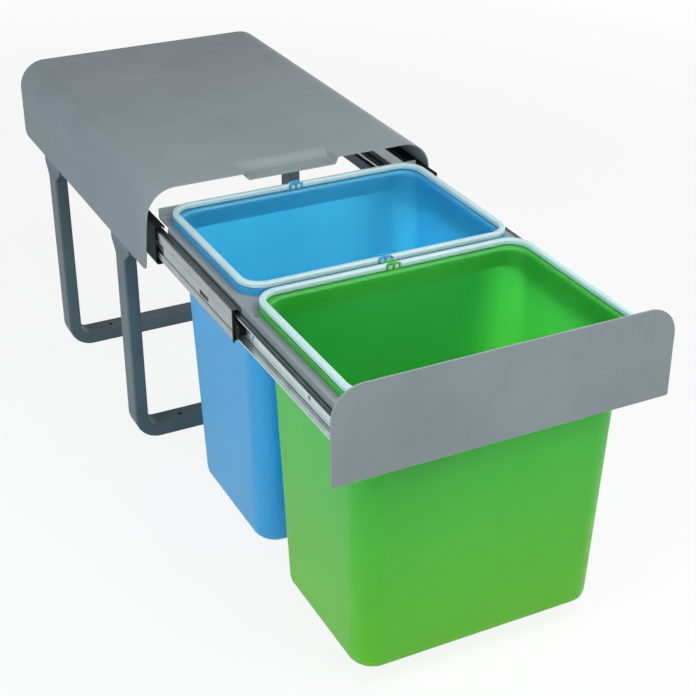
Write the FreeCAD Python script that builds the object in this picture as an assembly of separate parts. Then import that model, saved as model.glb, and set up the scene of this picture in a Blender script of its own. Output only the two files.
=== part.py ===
import FreeCAD, Part
import os
from math import cos, radians, sin, tan

V = FreeCAD.Vector

# Shared sheet, clearances and cutting overrun.
sheet = 1.2
running_gap = 0.3
overrun = 20
tiny = 0.001
ways = (("left", -1), ("right", 1))

# Top cover: one bent sheet, open in front and behind.
cover_width = 344
cover_over_rail = 34.5
cover_top = 363
cover_bend = 34
flap_height = 98
flap_set_back = 14
flap_rear_corner = 10
flap_front_corner = 8
recess_half_width = 57
recess_side_run = 7
recess_length = 37
recess_rear_run = 18
recess_drop = 8
recess_corner = 5
recess_run_shares = (0, 0.2, 0.4, 0.6, 0.8, 1)
recess_fall_shares = (0, 0.07, 0.3, 0.7, 0.93, 1)

# U-shaped tube legs with flattened, flared ends.
leg_front_inset = 107
leg_rear_inset = 112.5
tube_wide = 30
tube_thick = 16
tube_wall = 1.5
tube_edge = 2.5
leg_bend = 31
flare_gap = 9
flare_height = 13
flat_thick = 4
flat_wide = 62
flat_edge = 1.6
leg_rail_gap = 2.5
floor_hole_inset = 61
floor_hole_radius = 2.75

# Ball slides: three nested rails, sheet, ball and race sizes.
slide_below_top = 54
rail_sheet = 1.2
ball_radius = 2
race_radius = ball_radius + running_gap
race_depth = 0.5
rail_corner = 3.1
outer_half_height = 22.5
outer_lip = 11.6
lip_overlap = 1.1
cage_sheet = 0.8
cage_strip = 1
cage_play = 10
slide_depth = 12.7
outer_length = 450
rail_shortening = 10
travel_loss = 30
outer_reach = 21.5
middle_lead = 15.5
outer_cage_set_back = 2
inner_cage_set_back = 14
balls_per_row = 5
rail_hole_radius = 2.6
slot_half_length = 12
slot_half_height = 2.6
slot_from_front = 72
window_half_length = 12
window_half_height = 5.5
window_corner = 1.5
window_lead = 6
web_groove_height = 7.2
stop_length = 14
stop_grip = 10
stop_half_height = 9.4
stop_nose_half = 5
stop_cap = 3
outer_stop_length = 12

# Carrier frame, cross member and front panel.
frame_sheet = 1.5
frame_rise = 20
frame_drop = 15
frame_bend = 1.8
frame_rear_reach = 4.5
upstand_height = 10
collar_drop = 15
side_relief_long = 32
side_relief_deep = 2
panel_overhang = 3
panel_below_top = 4
panel_height = 95.5
panel_corner = 30
panel_foot_corner = 2
panel_stand_off = 34.5
cross_wide = 18
cross_tall = 14
flange_hole_radius = 1.8
flange_hole_from_edge = 4
flange_hole_from_bin = 23

# Bins: rim, mouth, body, wall and taper.
bin_gap = 10
rear_bin_inset = 1.5
front_bin_gap = 7
rim_side_gap = 8.1
rim_corner = 26
rim_sheet = 1.8
rim_rise = 7.4
mouth_flare = 3
mouth_depth = 5
body_side_inset = 7.5
body_end_inset = 9
body_corner = 24
side_taper = 9.5
end_taper = 10
foot_corner = 26
bin_bottom = 20
foot_round = 10
bin_wall = 2
round_step_shares = (0, 0.34, 0.67, 1)

# Half-bail handles and the clips that hold them.
bail_wide = 6.6
bail_tall = 6
bail_edge = 1.8
bail_end_gap = 1.1
pivot_offset = 3.4
pin_radius = 2.4
clip_sheet = 1.4
clip_web = 1.3
clip_rise = 7.8
clip_corner = 3.4

# Places that follow from the sizes above, along the unit.
cover_depth = outer_length + cover_over_rail
leg_spacing = cover_depth - leg_front_inset - leg_rear_inset
cover_front = -leg_spacing / 2 - leg_front_inset
slide_travel = outer_length - travel_loss
middle_length = outer_length - rail_shortening
inner_length = outer_length - rail_shortening
cage_length = slide_travel / 2 - cage_play
panel_reach = slide_travel + panel_stand_off
outer_front = cover_front - outer_reach
middle_front = cover_front - slide_travel / 2 - middle_lead
panel_front = cover_front - panel_reach
frame_front = panel_front + frame_sheet
frame_rear = cover_front + frame_rear_reach
inner_front = frame_front + frame_sheet + running_gap
rim_length = (panel_reach - rear_bin_inset - front_bin_gap - bin_gap) / 2
bin_pitch = rim_length + bin_gap

# Places that follow across the unit.
floor_hole_spacing = cover_width - 2 * floor_hole_inset
slide_wall = cover_width / 2 - sheet
frame_half_width = slide_wall - slide_depth
panel_half_width = cover_width / 2 + panel_overhang
rim_half_width = frame_half_width - rim_side_gap
body_half_width = rim_half_width - body_side_inset
foot_half_width = body_half_width - side_taper
body_half_length = rim_length / 2 - body_end_inset
foot_half_length = body_half_length - end_taper
lip_inside = outer_lip - rail_sheet
outer_ball_depth = lip_inside - race_radius
middle_web = rail_sheet + running_gap + cage_sheet + running_gap
middle_lip = outer_lip + running_gap
inner_ball_depth = middle_lip - rail_sheet - race_radius
inner_start = middle_web + rail_sheet + running_gap + cage_sheet + running_gap
clip_half_width = pivot_offset + pin_radius + running_gap + clip_web
bail_start = clip_half_width + bail_end_gap
clip_outside = bail_wide / 2
clip_inside = clip_outside - clip_sheet
tab_half_wide = clip_inside - running_gap

# Places that follow upwards.
flap_bottom = cover_top - flap_height
flare_end = flap_bottom - flare_gap
flare_start = flare_end - flare_height
slide_middle_height = cover_top - slide_below_top
leg_top = slide_middle_height - outer_half_height - leg_rail_gap
race_height = outer_half_height - rail_sheet - race_radius
middle_half_height = race_height - race_radius + race_depth
middle_race_height = middle_half_height - rail_sheet - race_radius
inner_half_height = middle_race_height - race_radius + race_depth
frame_top = slide_middle_height + frame_rise
frame_bottom = slide_middle_height - frame_drop
panel_top = cover_top - panel_below_top
panel_bottom = panel_top - panel_height
rim_foot = frame_top + running_gap
rim_top = rim_foot + rim_rise
bail_bottom = rim_top + running_gap
knuckle_radius = bail_tall / 2
pivot_height = bail_bottom + knuckle_radius
clip_top = rim_top + clip_rise


def on_floor(height):
    return lambda p: V(p.x, p.y, height)


def facing_front(depth):
    return lambda p: V(p.x, depth, p.y)


def facing_side(across):
    return lambda p: V(across, p.x, p.y)


def in_slide(side):
    return lambda p: V(side * (slide_wall - p.x), 0, slide_middle_height + p.y)


def outline(points, radii, place):
    spots = [V(a, b, 0) for a, b in points]
    count = len(spots)
    starts = []
    middles = []
    ends = []
    for i in range(count):
        before = (spots[i - 1] - spots[i]).normalize()
        after = (spots[(i + 1) % count] - spots[i]).normalize()
        half = before.getAngle(after) / 2
        reach = radii[i] / tan(half)
        inward = (before + after).normalize() * (radii[i] / sin(half) - radii[i])
        starts.append(spots[i] + before * reach)
        middles.append(spots[i] + inward)
        ends.append(spots[i] + after * reach)
    edges = []
    for i in range(count):
        if radii[i] > 0:
            edges.append(Part.Arc(place(starts[i]), place(middles[i]), place(ends[i])).toShape())
        following = starts[(i + 1) % count]
        if (following - ends[i]).Length > tiny:
            edges.append(Part.makeLine(place(ends[i]), place(following)))
    return Part.Wire(edges)


def rectangle(a0, a1, b0, b1, radius, place):
    corners = [(a0, b0), (a1, b0), (a1, b1), (a0, b1)]
    return outline(corners, [radius] * len(corners), place)


def pushed(wire, direction):
    return Part.Face(wire).extrude(direction)


def block(x0, x1, y0, y1, z0, z1):
    return Part.makeBox(x1 - x0, y1 - y0, z1 - z0, V(x0, y0, z0))


def rod(radius, start, direction, length):
    return Part.makeCylinder(radius, length, start, direction)


def save(shape, node):
    shape.removeSplitter().exportStep("parts/" + node + ".step")


def save_group(solids, node):
    Part.makeCompound(solids).exportStep("parts/" + node + ".step")


def dished(grow):
    front = cover_front - overrun
    wires = []
    for run, fall in zip(recess_run_shares, recess_fall_shares):
        wide = recess_half_width - recess_side_run * run + grow
        rear = cover_front + recess_length - recess_rear_run * run + grow
        level = cover_top - (recess_drop + grow) * fall
        wires.append(rectangle(-wide, wide, front, rear, recess_corner + grow, on_floor(level)))
    return Part.makeLoft(wires, True, True)


def top_cover():
    half = cover_width / 2
    inner = half - sheet
    along = V(0, cover_depth, 0)
    foot = flap_bottom - overrun
    place = facing_front(cover_front)
    skin = pushed(outline([(-half, foot), (half, foot), (half, cover_top), (-half, cover_top)],
                          [0, 0, cover_bend, cover_bend], place), along)
    crown = cover_top - sheet
    bend = cover_bend - sheet
    hollow = pushed(outline([(-inner, foot), (inner, foot), (inner, crown), (-inner, crown)],
                            [0, 0, bend, bend], place), along)
    bend_line = cover_top - cover_bend
    rear = cover_front + cover_depth
    profile = [(cover_front, cover_top), (rear, cover_top), (rear, flap_bottom),
               (cover_front + flap_set_back, flap_bottom), (cover_front, bend_line)]
    profile_radii = [0, 0, flap_rear_corner, flap_front_corner, 0]
    side = pushed(outline(profile, profile_radii, facing_side(-half)), V(cover_width, 0, 0))
    pan = dished(sheet).common(block(-half, half, cover_front, rear, flap_bottom, cover_top))
    return skin.cut(hollow).common(side).fuse(pan).cut(dished(0))


def leg(centre):
    outside = cover_width / 2
    inside = outside - tube_thick
    front = centre - tube_wide / 2
    bore_front = front + tube_wall
    bore_wide = tube_wide - tube_wall - tube_wall
    wall_out = outside - tube_wall
    wall_in = inside + tube_wall

    def bent(half, floor, radius, start, wide):
        corners = [(-half, floor), (half, floor), (half, flare_start), (-half, flare_start)]
        return pushed(outline(corners, [radius, radius, 0, 0], facing_front(start)), V(0, wide, 0))

    def softened(shape, radius):
        long_edges = [edge for edge in shape.Edges
                      if edge.BoundBox.YLength < tiny and edge.BoundBox.ZMin < flare_start - tiny]
        return shape.makeFillet(radius, long_edges)

    outer = bent(outside, 0, leg_bend, front, tube_wide)
    inner = bent(inside, tube_thick, leg_bend - tube_thick, front, tube_wide)
    bore = bent(wall_out, tube_wall, leg_bend - tube_wall, bore_front, bore_wide)
    core = bent(wall_in, tube_thick - tube_wall, leg_bend - tube_thick + tube_wall, bore_front, bore_wide)
    tube = softened(outer.cut(inner), tube_edge).cut(softened(bore.cut(core), tube_edge - tube_wall))
    for name, side in ways:
        edges = sorted((side * outside, side * inside))
        square = rectangle(*edges, front, front + tube_wide, tube_edge, on_floor(flare_start))
        flat_edges = sorted((side * slide_wall, side * (slide_wall - flat_thick)))
        flat_front = centre - flat_wide / 2
        pressed = rectangle(*flat_edges, flat_front, flat_front + flat_wide, flat_edge, on_floor(flare_end))
        plate = pushed(pressed, V(0, 0, leg_top - flare_end))
        tube = tube.fuse(Part.makeLoft([square, pressed], True, True)).fuse(plate)
        hole = V(side * floor_hole_spacing / 2, centre, 0)
        tube = tube.cut(rod(floor_hole_radius, hole, V(0, 0, 1), tube_thick))
    return tube


def rail(side, front, length, solid, hollow, mouth):
    along = V(0, length, 0)
    place = in_slide(side)
    shape = pushed(solid(place), along).cut(pushed(hollow(place), along)).cut(pushed(mouth(place), along))
    shape.translate(V(0, front, 0))
    return shape


def channel(web, lip, half, side, front, length):
    inside = half - rail_sheet
    lip_in = lip - rail_sheet
    gate = half - rail_sheet - race_radius - lip_overlap
    corners = [(web, -half), (lip, -half), (lip, half), (web, half)]
    bends = [rail_corner] * len(corners)
    room = [(web + rail_sheet, -inside), (lip_in, -inside), (lip_in, inside), (web + rail_sheet, inside)]
    room_bends = [rail_corner - rail_sheet, race_radius, race_radius, rail_corner - rail_sheet]
    return rail(side, front, length,
                lambda place: outline(corners, bends, place),
                lambda place: outline(room, room_bends, place),
                lambda place: rectangle(lip_in - race_radius, lip + overrun, -gate, gate, 0, place))


def race_cut(shape, side, depth, height, front, length):
    for up in (-1, 1):
        start = in_slide(side)(V(depth, up * height, 0)) + V(0, front, 0)
        shape = shape.cut(rod(race_radius, start, V(0, 1, 0), length))
    return shape


def web_hole(shape, side, from_front, front, radius):
    start = V(side * (slide_wall + overrun), front + from_front, slide_middle_height)
    return shape.cut(rod(radius, start, V(-side, 0, 0), slide_depth + overrun))


def outer_rail(side):
    shape = channel(0, outer_lip, outer_half_height, side, outer_front, outer_length)
    ends = (outer_reach + flap_set_back + slot_half_length, outer_length - slot_from_front)
    for from_front in ends:
        shape = web_hole(shape, side, from_front, outer_front, rail_hole_radius)
    return shape


def middle_rail(side):
    shape = channel(middle_web, middle_lip, middle_half_height, side, middle_front, middle_length)
    shape = race_cut(shape, side, outer_ball_depth, race_height, middle_front, middle_length)
    groove_depth = middle_web - race_radius + race_depth
    shape = race_cut(shape, side, groove_depth, web_groove_height, middle_front, middle_length)
    slots = [(middle_front + slot_from_front, slot_half_length, slot_half_height, slot_half_height - tiny),
             (outer_front - window_lead, window_half_length, window_half_height, window_corner),
             (middle_front + middle_length - slot_from_front, slot_half_length, slot_half_height,
              slot_half_height - tiny)]
    for centre, half_long, half_tall, corner in slots:
        slot = rectangle(centre - half_long, centre + half_long, slide_middle_height - half_tall,
                         slide_middle_height + half_tall, corner, facing_side(side * (slide_wall + overrun)))
        shape = shape.cut(pushed(slot, V(-side * (slide_depth + overrun), 0, 0)))
    return shape


def inner_rail(side):
    half = inner_half_height
    inside = half - rail_sheet
    corners = [(inner_start, -half), (slide_depth, -half), (slide_depth, half), (inner_start, half)]
    bends = [0, rail_corner - rail_sheet, rail_corner - rail_sheet, 0]
    web = slide_depth - rail_sheet
    room = [(inner_start - overrun, -inside), (web, -inside), (web, inside), (inner_start - overrun, inside)]
    shape = rail(side, inner_front, inner_length,
                 lambda place: outline(corners, bends, place),
                 lambda place: outline(room, [0, tiny, tiny, 0], place),
                 lambda place: rectangle(inner_start - overrun, inner_start, -inside, inside, 0, place))
    shape = race_cut(shape, side, inner_ball_depth, middle_race_height, inner_front, inner_length)
    middle_screw = bin_rear(1) - rim_corner - inner_front
    for from_front in (slot_from_front, middle_screw, inner_length - slot_from_front):
        shape = web_hole(shape, side, from_front, inner_front, rail_hole_radius)
    return shape


def ball_rows(side, depth, height, front):
    step = cage_length / balls_per_row
    place = in_slide(side)
    for up in (-1, 1):
        for i in range(balls_per_row):
            yield place(V(depth, up * height, 0)) + V(0, front + step / 2 + i * step, 0)


def cage(side, web, depth, height, edge, front):
    place = in_slide(side)
    along = V(0, cage_length, 0)
    half = height + cage_strip / 2
    shape = pushed(rectangle(web, web + cage_sheet, -half, half, 0, place), along)
    for up in (-1, 1):
        low, high = sorted((up * half, up * (half - cage_strip)))
        shape = shape.fuse(pushed(rectangle(web, edge, low, high, 0, place), along))
    shape.translate(V(0, front, 0))
    for spot in ball_rows(side, depth, height, front):
        shape = shape.cut(rod(race_radius, spot - V(0, 0, cage_strip), V(0, 0, 1), cage_strip + cage_strip))
    return shape


def balls(side, depth, height, front):
    return [Part.makeSphere(ball_radius, spot) for spot in ball_rows(side, depth, height, front)]


def middle_stop(side):
    web_face = middle_web + rail_sheet
    back = middle_front + stop_grip
    front = middle_front - stop_length
    place = in_slide(side)
    grip = pushed(rectangle(web_face, inner_start + cage_sheet, -stop_half_height, stop_half_height,
                            tiny, place), V(0, stop_grip + stop_cap, 0))
    grip.translate(V(0, back - stop_grip - stop_cap, 0))
    cap = pushed(rectangle(middle_web, web_face, -middle_half_height, middle_half_height, tiny, place),
                 V(0, stop_cap, 0))
    cap.translate(V(0, middle_front - stop_cap, 0))
    nose = [(back, -stop_half_height), (middle_front, -stop_half_height), (front, -stop_nose_half),
            (front, stop_nose_half), (middle_front, stop_half_height), (back, stop_half_height)]
    lifted = [(a, slide_middle_height + b) for a, b in nose]
    tongue_start = web_face
    tongue_deep = slide_depth - rail_sheet - running_gap - tongue_start
    tongue = pushed(outline(lifted, [0] * len(lifted), facing_side(side * (slide_wall - tongue_start))),
                    V(-side * tongue_deep, 0, 0))
    return grip.fuse(cap).fuse(tongue)


def outer_stop(side):
    place = in_slide(side)
    low = middle_half_height + running_gap
    high = outer_half_height - rail_sheet
    pads = []
    for up in (-1, 1):
        ends = sorted((up * low, up * high))
        pad = pushed(rectangle(rail_corner, lip_inside - race_radius, *ends, 0, place),
                     V(0, outer_stop_length, 0))
        pad.translate(V(0, outer_front, 0))
        pads.append(pad)
    return pads


def bin_rear(index):
    return cover_front - rear_bin_inset - index * bin_pitch


def opening(index, grow, height):
    gap = (rim_half_width - rim_sheet - body_half_width) / 2 + grow
    rear = bin_rear(index) - body_end_inset + gap
    front = bin_rear(index) - rim_length + body_end_inset - gap
    half = body_half_width + gap
    wire = rectangle(-half, half, front, rear, body_corner + gap, on_floor(frame_top - collar_drop))
    return pushed(wire, V(0, 0, height))


def carrier_frame():
    half = frame_half_width
    shell = block(-half, half, frame_front, frame_rear, frame_bottom, frame_top)
    crest = [edge for edge in shell.Edges
             if edge.BoundBox.ZMin > frame_top - tiny and edge.BoundBox.YMin < frame_rear - tiny]
    shell = shell.makeFillet(frame_bend, crest)
    inside = half - frame_sheet
    under = frame_top - frame_sheet
    shell = shell.cut(block(-inside, inside, frame_front + frame_sheet, frame_rear, frame_bottom, under))
    narrow = half - side_relief_deep
    for name, side in ways:
        edges = sorted((side * narrow, side * half))
        shell = shell.cut(block(*edges, frame_rear - side_relief_long, frame_rear, frame_bottom, frame_top))
    upstand = block(-narrow, narrow, frame_rear - frame_sheet, frame_rear, under, frame_top + upstand_height)
    shell = shell.fuse(upstand).removeSplitter()
    rear_bend = [edge for edge in shell.Edges if edge.BoundBox.YMin > frame_rear - tiny
                 and edge.BoundBox.ZMax < under + tiny and edge.BoundBox.XLength > narrow]
    shell = shell.makeFillet(frame_bend - tiny, rear_bend)
    for index in (0, 1):
        shell = shell.fuse(opening(index, frame_sheet, collar_drop))
        shell = shell.cut(opening(index, 0, collar_drop + overrun))
    for name, side in ways:
        spot = V(side * (half - flange_hole_from_edge), bin_rear(1) - flange_hole_from_bin, frame_bottom)
        shell = shell.cut(rod(flange_hole_radius, spot, V(0, 0, 1), frame_top))
    return shell


def cross_member():
    half = frame_half_width - frame_sheet
    middle = bin_rear(0) - (rim_length + bin_pitch) / 2
    front = middle - cross_wide / 2
    top = frame_top - frame_sheet
    solid = block(-half, half, front, front + cross_wide, top - cross_tall, top)
    room = block(-half, half, front + frame_sheet, front + cross_wide - frame_sheet,
                 top - cross_tall, top - frame_sheet)
    return solid.cut(room)


def front_panel():
    half = panel_half_width
    radii = [panel_foot_corner, panel_foot_corner, panel_corner, panel_corner]
    face = [(-half, panel_bottom), (half, panel_bottom), (half, panel_top), (-half, panel_top)]
    return pushed(outline(face, radii, facing_front(panel_front)), V(0, frame_sheet, 0))


def tapered(inset, floor):
    wires = []
    for share in round_step_shares:
        angle = radians(90 * share)
        pull = inset + foot_round * (1 - sin(angle))
        rise = floor + foot_round * (1 - cos(angle))
        wide = foot_half_width - pull
        long = foot_half_length - pull
        wires.append(rectangle(-wide, wide, -long, long, foot_corner - pull, on_floor(rise)))
    for share in round_step_shares:
        angle = radians(90 * share)
        grow = mouth_flare * (1 - cos(angle)) - inset
        rise = rim_top - mouth_depth * (1 - sin(angle))
        wide = body_half_width + grow
        long = body_half_length + grow
        wires.append(rectangle(-wide, wide, -long, long, body_corner + grow, on_floor(rise)))
    return Part.makeLoft(wires, True, True)


def clip(middle):
    face = [(-clip_half_width, rim_foot), (clip_half_width, rim_foot),
            (clip_half_width, clip_top), (-clip_half_width, clip_top)]
    plates = []
    for near in (-clip_outside, clip_inside):
        plate = pushed(outline(face, [0, 0, clip_corner, clip_corner], facing_front(middle + near)),
                       V(0, clip_sheet, 0))
        for name, side in ways:
            start = V(side * pivot_offset, middle + near, pivot_height)
            plate = plate.cut(rod(pin_radius + running_gap, start, V(0, 1, 0), clip_sheet))
        plates.append(plate)
    return plates


def bail_middle(end):
    return end * (rim_length / 2 - bail_wide / 2)


def waste_bin(index):
    half_long = rim_length / 2
    rim = pushed(rectangle(-rim_half_width, rim_half_width, -half_long, half_long, rim_corner,
                           on_floor(rim_foot)), V(0, 0, rim_rise))
    room_half = rim_half_width - rim_sheet
    room_long = half_long - rim_sheet
    room = pushed(rectangle(-room_half, room_half, -room_long, room_long, rim_corner - rim_sheet,
                            on_floor(rim_foot)), V(0, 0, rim_rise - rim_sheet))
    shape = rim.cut(room).fuse(tapered(0, bin_bottom))
    for end in (-1, 1):
        for plate in clip(bail_middle(end)):
            shape = shape.fuse(plate)
    shape = shape.cut(tapered(bin_wall, bin_bottom + bin_wall))
    shape.translate(V(0, bin_rear(index) - half_long, 0))
    return shape


def handle(index, side):
    half_long = rim_length / 2
    band = pushed(rectangle(-rim_half_width, rim_half_width, -half_long, half_long, rim_corner,
                            on_floor(bail_bottom)), V(0, 0, bail_tall))
    inner_half = rim_half_width - bail_wide
    inner_long = half_long - bail_wide
    hollow = pushed(rectangle(-inner_half, inner_half, -inner_long, inner_long, rim_corner - bail_wide,
                              on_floor(bail_bottom)), V(0, 0, bail_tall))
    keep = sorted((side * bail_start, side * (rim_half_width + overrun)))
    half_band = band.cut(hollow).common(block(*keep, -half_long, half_long, bail_bottom, bail_bottom + bail_tall))
    long_edges = [edge for edge in half_band.Edges
                  if edge.BoundBox.ZLength < tiny and edge.Length > bail_wide + tiny]
    bail = half_band.makeFillet(bail_edge, long_edges)
    for end in (-1, 1):
        middle = bail_middle(end)
        reach = sorted((side * pivot_offset, side * (bail_start + bail_wide)))
        near = middle - tab_half_wide
        far = middle + tab_half_wide
        tab = block(*reach, near, far, bail_bottom, bail_bottom + bail_tall)
        pivot = V(side * pivot_offset, 0, pivot_height)
        knuckle = rod(knuckle_radius, pivot + V(0, near, 0), V(0, 1, 0), far - near)
        pin = rod(pin_radius, pivot + V(0, middle - clip_outside, 0), V(0, 1, 0), clip_outside + clip_outside)
        bail = bail.fuse(tab).fuse(knuckle).fuse(pin)
    bail.translate(V(0, bin_rear(index) - half_long, 0))
    return bail


os.makedirs("parts", exist_ok=True)

save(top_cover(), "top_cover")
save(leg(-leg_spacing / 2), "front_leg")
save(leg(leg_spacing / 2), "rear_leg")

outer_cage_front = cover_front + outer_cage_set_back
inner_cage_front = middle_front + inner_cage_set_back
outer_cage_web = rail_sheet + running_gap
inner_cage_web = middle_web + rail_sheet + running_gap
for name, side in ways:
    save(outer_rail(side), name + "_outer_rail")
    save_group(outer_stop(side), name + "_outer_stop")
    save(middle_rail(side), name + "_middle_rail")
    save(middle_stop(side), name + "_middle_stop")
    save(inner_rail(side), name + "_inner_rail")
    outer_edge = lip_inside - running_gap
    inner_edge = middle_lip - rail_sheet - running_gap
    save(cage(side, outer_cage_web, outer_ball_depth, race_height, outer_edge, outer_cage_front),
         name + "_outer_cage")
    save(cage(side, inner_cage_web, inner_ball_depth, middle_race_height, inner_edge, inner_cage_front),
         name + "_inner_cage")
    save_group(balls(side, outer_ball_depth, race_height, outer_cage_front), name + "_outer_balls")
    save_group(balls(side, inner_ball_depth, middle_race_height, inner_cage_front), name + "_inner_balls")

save(carrier_frame(), "carrier_frame")
save(cross_member(), "cross_member")
save(front_panel(), "front_panel")
for index, name in enumerate(("rear_bin", "front_bin")):
    save(waste_bin(index), name)
    for way, side in ways:
        save(handle(index, side), name + "_" + way + "_handle")
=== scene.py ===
import bpy
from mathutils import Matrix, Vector

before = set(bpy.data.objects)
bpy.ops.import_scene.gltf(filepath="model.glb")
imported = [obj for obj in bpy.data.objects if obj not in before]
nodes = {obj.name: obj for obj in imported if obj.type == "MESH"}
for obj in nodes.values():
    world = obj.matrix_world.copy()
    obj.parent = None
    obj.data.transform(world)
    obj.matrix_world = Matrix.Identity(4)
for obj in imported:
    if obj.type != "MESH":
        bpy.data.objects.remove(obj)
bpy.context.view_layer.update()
print("frame loaded,", len(nodes), "nodes")


class Wire:
    # one output socket; sums, differences and products of it add Math nodes
    def __init__(self, finish, socket):
        self.finish = finish
        self.socket = socket

    def work(self, operation, first, second):
        return self.finish.add("ShaderNodeMath", {"operation": operation}, {0: first, 1: second})

    def __add__(self, other):
        return self.work("ADD", self, other)

    def __radd__(self, other):
        return self.work("ADD", other, self)

    def __sub__(self, other):
        return self.work("SUBTRACT", self, other)

    def __rsub__(self, other):
        return self.work("SUBTRACT", other, self)

    def __mul__(self, other):
        return self.work("MULTIPLY", self, other)

    def __rmul__(self, other):
        return self.work("MULTIPLY", other, self)

    def over(self, other):
        return self.work("MAXIMUM", self, other)

    def size(self):
        return self.work("ABSOLUTE", self, 0.0)


edgeLook = {"samples": 6, "lean": (0.03, 0.3)}  # how far a rounded normal leans where an edge shows


class Finish:
    # a node tree that is filled through one method
    def __init__(self, tree):
        self.tree = tree
        tree.nodes.clear()

    def add(self, kind, settings, sockets, out=0):
        node = self.tree.nodes.new(kind)
        for key, value in settings.items():
            setattr(node, key, value)
        for key, value in sockets.items():
            if isinstance(value, Wire):
                self.tree.links.new(value.socket, node.inputs[key])
            else:
                node.inputs[key].default_value = value
        return Wire(self, node.outputs[out]) if node.outputs else None

    def place(self):
        return self.add("ShaderNodeTexCoord", {}, {}, "Object")

    def height(self):
        return self.add("ShaderNodeSeparateXYZ", {}, {"Vector": self.place()}, "Z")

    def stretched(self, scale):
        return self.add("ShaderNodeMapping", {}, {"Vector": self.place(), "Scale": scale})

    def noise(self, where, scale, detail, rough):
        sockets = {"Vector": where, "Scale": scale, "Detail": detail, "Roughness": rough}
        return self.add("ShaderNodeTexNoise", {}, sockets)

    def spread(self, value, low, high, toLow=0.0, toHigh=1.0):
        # a smooth step from toLow to toHigh while the value goes from low to high
        sockets = {"Value": value, "From Min": low, "From Max": high, "To Min": toLow, "To Max": toHigh}
        return self.add("ShaderNodeMapRange", {"interpolation_type": "SMOOTHSTEP"}, sockets)

    def blended(self, share, first, second):
        # a Mix node's colours are its inputs 6 and 7 and its output 2
        return self.add("ShaderNodeMix", {"data_type": "RGBA"}, {"Factor": share, 6: first, 7: second}, 2)

    def facing(self):
        return self.add("ShaderNodeNewGeometry", {}, {}, "Normal")

    def upward(self, low, high):
        lift = self.add("ShaderNodeSeparateXYZ", {}, {"Vector": self.facing()}, "Z")
        return self.spread(lift, low, high)

    def edges(self, radius):
        # 1 along the outer edges of a piece, 0 on its faces
        rounded = self.add("ShaderNodeBevel", {"samples": edgeLook["samples"]}, {"Radius": radius})
        both = {0: rounded, 1: self.facing()}
        flat = self.add("ShaderNodeVectorMath", {"operation": "DOT_PRODUCT"}, both, "Value")
        return self.spread(1.0 - flat, *edgeLook["lean"])

    def roughened(self, value, look):
        # the finish's roughness, a little less or more with the grain
        low, high = (look["rough"] + change for change in look["roughBy"])
        return self.spread(value, *look["roughFrom"], low, high)

    def bumped(self, height, look):
        sockets = {"Height": height, "Strength": look["bump"], "Distance": look["bumpDepth"]}
        return self.add("ShaderNodeBump", {}, sockets)

    def done(self, sockets):
        shader = self.add("ShaderNodeBsdfPrincipled", {}, sockets)
        self.add("ShaderNodeOutputMaterial", {}, {"Surface": shader})


def newFinish(name):
    material = bpy.data.materials.new(name)
    material.use_nodes = True
    return material, Finish(material.node_tree)


def tone(red, green, blue):
    # a colour as seen on screen, 0 to 255, turned into the renderer's linear values by the sRGB curve
    steps = [value / 255 for value in (red, green, blue)]
    return [((s + 0.055) / 1.055) ** 2.4 if s > 0.04045 else s / 12.92 for s in steps] + [1.0]


# powder coat: fine grain, a little orange peel, thinner and glossier on the edges, and lighter there as wear
# and painted highlight
coatSurface = {
    "grain": (1400.0, 2.0, 0.6),  # each noise: scale, detail, roughness
    "peel": (420.0, 1.0, 0.4),
    "cloudShare": 0.55, "grainShare": 0.45, "mottled": (0.3, 0.7),
    "edgeRadius": 0.0012, "edgeWearAndHighlight": 0.6, "edgeGloss": 0.12,
    "roughFrom": (0.2, 0.8), "roughBy": (-0.05, 0.07),
    "peelBump": 0.6, "grainBump": 0.4, "bump": 0.1, "bumpDepth": 0.0004,
}
greyCoat = {
    **coatSurface,
    "light": (132, 141, 144), "dark": (120, 129, 132), "edge": (160, 168, 171),
    "cloud": (7.0, 3.0, 0.55), "rough": 0.42, "metal": 0.02, "shine": 0.03,
}
# the legs: the cover's grey paint darkened as painted shade
legCoatShaded = {
    **coatSurface,
    "light": (92, 108, 114), "dark": (78, 94, 99), "edge": (128, 141, 145),
    "cloud": (9.0, 3.0, 0.55), "rough": 0.36, "metal": 0.02, "shine": 0.08,
}


def powderCoat(name, look):
    material, finish = newFinish(name)
    grain = finish.noise(finish.place(), *look["grain"])
    peel = finish.noise(finish.place(), *look["peel"])
    cloud = finish.noise(finish.place(), *look["cloud"])
    share = finish.spread(look["cloudShare"] * cloud + look["grainShare"] * grain, *look["mottled"])
    # lighter edges: wear and painted highlight
    wornAndHighlit = look["edgeWearAndHighlight"] * finish.edges(look["edgeRadius"])
    coat = finish.blended(share, tone(*look["dark"]), tone(*look["light"]))
    finish.done({
        "Base Color": finish.blended(wornAndHighlit, coat, tone(*look["edge"])),
        "Roughness": finish.roughened(grain, look) - look["edgeGloss"] * wornAndHighlit,
        "Normal": finish.bumped(look["peelBump"] * peel + look["grainBump"] * grain, look),
        "Metallic": look["metal"],
        "Specular IOR Level": look["shine"],
    })
    return material
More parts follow.
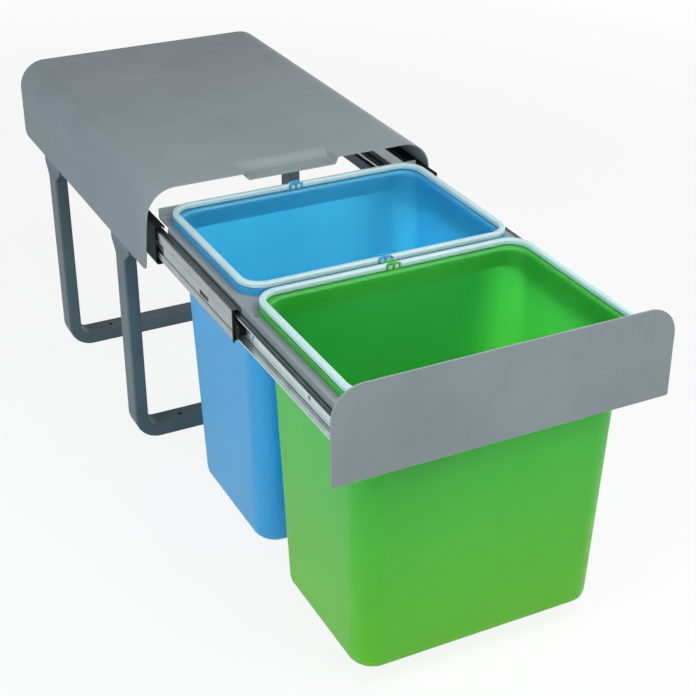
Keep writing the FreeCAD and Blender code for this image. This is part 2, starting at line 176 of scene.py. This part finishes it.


# slide steel: drawn lines along the rail, a cloudy plating, and painted shade: darker on the faces that look
# up high on the rail and along a line in a crease
plateSurface = {
    "lines": (520.0, 9.0, 520.0), "drawn": (1.0, 3.0, 0.6),
    "cloud": (46.0, 4.0, 0.6), "speck": (900.0, 1.0, 0.5),
    "cloudShare": 0.5, "drawnShare": 0.35, "speckShare": 0.15, "mottled": (0.34, 0.66),
    "paintedShadeUp": (0.35, 0.85), "paintedShadeFrom": 0.28, "paintedShadeFade": 0.004, "paintedShadeCloud": (0.1, 0.5, 0.8, 1.0),
    "creaseShadeCore": 0.4,  # share of the painted crease shade line that is fully dark
    "roughFrom": (0.25, 0.75), "roughBy": (-0.06, 0.1),
    "bump": 0.1, "bumpDepth": 0.0002, "metal": 0.9, "shine": 0.5,
}
# the middle rail's zinc: a darker copy of the same plating, as painted shade
middleZincShadedCopy = {
    **plateSurface,
    "light": (162, 172, 172), "dark": (144, 154, 154), "paintedShade": (46, 56, 60), "rough": 0.24,
    "paintedShadeShare": 0.92, "paintedShadeFrom": 0.318,
    "paintedCreaseShade": (0.3034, 0.0022),  # height of its middle and half its width
}
# the inner rail's zinc: a lighter copy of the same plating, as painted light
innerZincLitCopy = {
    **plateSurface,
    "light": (214, 224, 224), "dark": (196, 206, 206), "paintedShade": (54, 65, 69), "rough": 0.24,
    "paintedShadeShare": 0.92, "paintedShadeFrom": 0.318,
    "paintedCreaseShade": (0.2998, 0.0014),
}
# the outer rail's zinc, painted almost black and without metal shine as painted shade
outerZincShadeBlack = {
    **plateSurface,
    "light": (38, 43, 42), "dark": (18, 21, 20), "paintedShade": (14, 17, 17), "rough": 0.55,
    "paintedShadeShare": 0.6, "metal": 0.0, "shine": 0.02,
}
cageSteel = {
    **plateSurface,
    "light": (120, 124, 122), "dark": (78, 84, 82), "paintedShade": (50, 56, 56), "rough": 0.36,
    "paintedShadeShare": 0.5, "lines": (700.0, 20.0, 700.0),
}
ballSteel = {
    **plateSurface,
    "light": (225, 228, 230), "dark": (200, 204, 208), "paintedShade": (150, 154, 156), "rough": 0.12,
    "paintedShadeShare": 0.2, "lines": (300.0, 300.0, 300.0),
}


def plated(name, look):
    material, finish = newFinish(name)
    drawn = finish.noise(finish.stretched(look["lines"]), *look["drawn"])
    cloud = finish.noise(finish.place(), *look["cloud"])
    speck = finish.noise(finish.place(), *look["speck"])
    mixed = look["cloudShare"] * cloud + look["drawnShare"] * drawn + look["speckShare"] * speck
    plate = finish.blended(finish.spread(mixed, *look["mottled"]), tone(*look["dark"]), tone(*look["light"]))
    # painted shade on the faces that look up, above a given height: the rails' top lips
    top = finish.spread(finish.height(), look["paintedShadeFrom"] - look["paintedShadeFade"], look["paintedShadeFrom"])
    paintedShade = look["paintedShadeShare"] * finish.spread(cloud, *look["paintedShadeCloud"])
    paintedShadeMask = finish.upward(*look["paintedShadeUp"]) * top * paintedShade
    # a painted shade line along the crease between the web and the lower lip
    if "paintedCreaseShade" in look:
        middle, half = look["paintedCreaseShade"]
        away = (finish.height() - middle).size()
        paintedShadeMask = paintedShadeMask.over(finish.spread(away, half, look["creaseShadeCore"] * half))
    finish.done({
        "Base Color": finish.blended(paintedShadeMask, plate, tone(*look["paintedShade"])),
        "Roughness": finish.roughened(drawn, look),
        "Normal": finish.bumped(drawn, look),
        "Metallic": look["metal"],
        "Specular IOR Level": look["shine"],
    })
    return material


# moulded plastic: fine eroded grain, a slightly cloudy colour, light passing through the wall, lighter edges
# as wear and painted highlight
mouldSurface = {
    "grain": (1100.0, 2.0, 0.6), "flow": (1.0, 3.0, 0.5), "flowStretch": (10.0, 10.0, 2.5),
    "flowShare": 0.75, "grainShare": 0.25, "mottled": (0.32, 0.68),
    "edgeRadius": 0.0016, "edgeWearAndHighlight": 0.7, "edgeGloss": 0.1,
    "footHeights": (0.3, 0.0), "footShare": 0.9,  # the low colour grows towards the floor
    "roughFrom": (0.25, 0.75), "roughBy": (-0.05, 0.08), "bumpDepth": 0.0003,
    "reachScale": 0.008,
}
blueBin = {
    **mouldSurface,
    "light": (76, 205, 252), "dark": (66, 198, 250), "low": (74, 204, 250), "edge": (146, 214, 248),
    "rough": 0.4, "bump": 0.06, "shine": 0.32, "through": 0.7, "reach": (0.35, 0.75, 1.0), "clear": 0.74,
}
greenBin = {
    **mouldSurface,
    "light": (82, 220, 92), "dark": (70, 213, 80), "low": (132, 220, 0), "edge": (146, 218, 110),
    "rough": 0.4, "bump": 0.06, "shine": 0.24, "through": 0.7, "reach": (0.6, 1.0, 0.4), "clear": 0.74,
}
paleBail = {
    **mouldSurface,
    "light": (186, 212, 214), "dark": (177, 203, 206), "low": (182, 208, 210), "edge": (208, 226, 227),
    "rough": 0.3, "bump": 0.02, "shine": 0.2, "through": 0.5, "reach": (1.0, 1.0, 1.0), "clear": 0.25,
}
blackPart = {
    **mouldSurface,
    "light": (24, 25, 25), "dark": (13, 14, 14), "low": (18, 19, 19), "edge": (40, 41, 41),
    "rough": 0.55, "bump": 0.08, "shine": 0.06, "through": 0.0, "reach": (1.0, 1.0, 1.0), "clear": 0.0,
}


def moulded(name, look):
    material, finish = newFinish(name)
    grain = finish.noise(finish.place(), *look["grain"])
    flow = finish.noise(finish.stretched(look["flowStretch"]), *look["flow"])
    share = finish.spread(look["flowShare"] * flow + look["grainShare"] * grain, *look["mottled"])
    # lighter edges: wear and painted highlight
    wornAndHighlit = look["edgeWearAndHighlight"] * finish.edges(look["edgeRadius"])
    foot = look["footShare"] * finish.spread(finish.height(), *look["footHeights"])
    body = finish.blended(share, tone(*look["dark"]), tone(*look["light"]))
    body = finish.blended(foot, body, tone(*look["low"]))
    finish.done({
        "Base Color": finish.blended(wornAndHighlit, body, tone(*look["edge"])),
        "Roughness": finish.roughened(grain, look) - look["edgeGloss"] * wornAndHighlit,
        "Normal": finish.bumped(grain, look),
        "Subsurface Weight": look["through"],
        "Subsurface Radius": look["reach"],
        "Subsurface Scale": look["reachScale"],
        "Transmission Weight": look["clear"],
        "Specular IOR Level": look["shine"],
    })
    return material


# a node takes the first finish whose key ends its name
finishes = {
    "_leg": powderCoat("legPowderCoatShaded", legCoatShaded),
    "_outer_rail": plated("outerZincPlatePaintedShade", outerZincShadeBlack),
    "_middle_rail": plated("middleZincPlateShaded", middleZincShadedCopy),
    "_inner_rail": plated("innerZincPlateLit", innerZincLitCopy),
    "_cage": plated("cageSteel", cageSteel),
    "_balls": plated("ballSteel", ballSteel),
    "_stop": moulded("blackPlastic", blackPart),
    "_handle": moulded("palePlastic", paleBail),
    "rear_bin": moulded("bluePlastic", blueBin),
    "front_bin": moulded("greenPlastic", greenBin),
    "": powderCoat("greyPowderCoat", greyCoat),  # the cover, the panel and the carrier frame
}
print("finishes made,", len(finishes))

for name, node in nodes.items():
    node.data.materials.clear()
    node.data.materials.append(next(made for ending, made in finishes.items() if name.endswith(ending)))
print("finishes given to", len(nodes), "nodes")


# pale floor that keeps a soft shadow, and a surround that is dim as a light and white to look at
floorLook = {
    "size": 16.0, "colour": (206, 206, 206), "white": 1.0,
    "glow": 0.88, "near": 0.9, "far": 2.6,  # share of white up to near; all white from far, in metres
}
surround = {"colour": (255, 255, 255), "white": 1.0, "dim": 0.2}


def whiteRays(finish):
    # 1 for what the camera sees, straight, mirrored or through a clear wall
    camera = finish.add("ShaderNodeLightPath", {}, {}, "Is Camera Ray")
    glossy = finish.add("ShaderNodeLightPath", {}, {}, "Is Glossy Ray")
    clear = finish.add("ShaderNodeLightPath", {}, {}, "Is Transmission Ray")
    return camera.over(glossy).over(clear)


def makeFloor(look):
    half = look["size"] / 2
    corners = [(-half, -half, 0), (half, -half, 0), (half, half, 0), (-half, half, 0)]
    mesh = bpy.data.meshes.new("studioFloor")
    mesh.from_pydata(corners, [], [(0, 1, 2, 3)])
    floor = bpy.data.objects.new("studioFloor", mesh)
    bpy.context.scene.collection.objects.link(floor)
    material, finish = newFinish("floorWhite")
    matt = finish.add("ShaderNodeBsdfDiffuse", {}, {"Color": tone(*look["colour"])})
    glow = finish.add("ShaderNodeEmission", {}, {"Color": (1, 1, 1, 1), "Strength": look["white"]})
    away = finish.add("ShaderNodeVectorMath", {"operation": "LENGTH"}, {0: finish.place()}, "Value")
    share = finish.spread(away, look["near"], look["far"], look["glow"])
    white = whiteRays(finish) * share
    both = finish.add("ShaderNodeMixShader", {}, {0: white, 1: matt, 2: glow})
    finish.add("ShaderNodeOutputMaterial", {}, {"Surface": both})
    mesh.materials.append(material)


def makeSurround(look):
    world = bpy.data.worlds.new("studio")
    world.use_nodes = True
    bpy.context.scene.world = world
    finish = Finish(world.node_tree)
    colour = tone(*look["colour"])
    dim = finish.add("ShaderNodeBackground", {}, {"Color": colour, "Strength": look["dim"]})
    seen = finish.add("ShaderNodeBackground", {}, {"Color": colour, "Strength": look["white"]})
    both = finish.add("ShaderNodeMixShader", {}, {0: whiteRays(finish), 1: dim, 2: seen})
    finish.add("ShaderNodeOutputWorld", {}, {"Surface": both})


def pointAt(thing, look):
    thing.location = look["at"]
    thing.rotation_mode = "QUATERNION"
    thing.rotation_quaternion = (Vector(look["aim"]) - Vector(look["at"])).to_track_quat("-Z", "Y")
    bpy.context.scene.collection.objects.link(thing)


# cool light from the left, warm light from the front, and plain fills for the other sides
lamps = {
    "keySoftbox": {"at": (-2.2, -1.0, 0.85), "aim": (0, -0.3, 0.2), "size": 1.7, "watts": 45.0,
                   "colour": (0.85, 0.95, 1.0)},
    "topSoftbox": {"at": (0.1, -1.0, 1.25), "aim": (0, -0.45, 0.2), "size": 0.9, "watts": 15.5,
                   "colour": (1.0, 1.0, 1.0)},
    "frontFill": {"at": (1.9, -2.3, 0.9), "aim": (0, -0.3, 0.2), "size": 1.8, "watts": 20.0,
                  "colour": (1.0, 0.97, 0.88)},
    "rightFill": {"at": (2.4, -0.5, 0.9), "aim": (0, -0.3, 0.2), "size": 1.5, "watts": 16.0,
                  "colour": (1.0, 1.0, 1.0)},
    "rearFill": {"at": (2.3, 1.5, 0.5), "aim": (0, -0.3, 0.2), "size": 0.8, "watts": 14.0,
                 "colour": (1.0, 1.0, 1.0)},
}


def makeLamps(looks):
    for name, look in looks.items():
        light = bpy.data.lights.new(name, "AREA")
        light.size = look["size"]
        light.energy = look["watts"]
        light.color = look["colour"]
        pointAt(bpy.data.objects.new(name, light), look)


makeFloor(floorLook)
makeSurround(surround)
makeLamps(lamps)
print("studio made")

shot = {"at": (-0.6297, -1.6357, 0.9729), "aim": (0.0268, -0.3216, 0.1669), "lens": 77.06, "sensor": 36.0}


def makeCamera(look):
    data = bpy.data.cameras.new("photoCamera")
    data.lens = look["lens"]
    data.sensor_width = look["sensor"]
    camera = bpy.data.objects.new("photoCamera", data)
    pointAt(camera, look)
    bpy.context.scene.camera = camera


makeCamera(shot)
bpy.context.scene.view_settings.view_transform = "Standard"
print("camera placed")
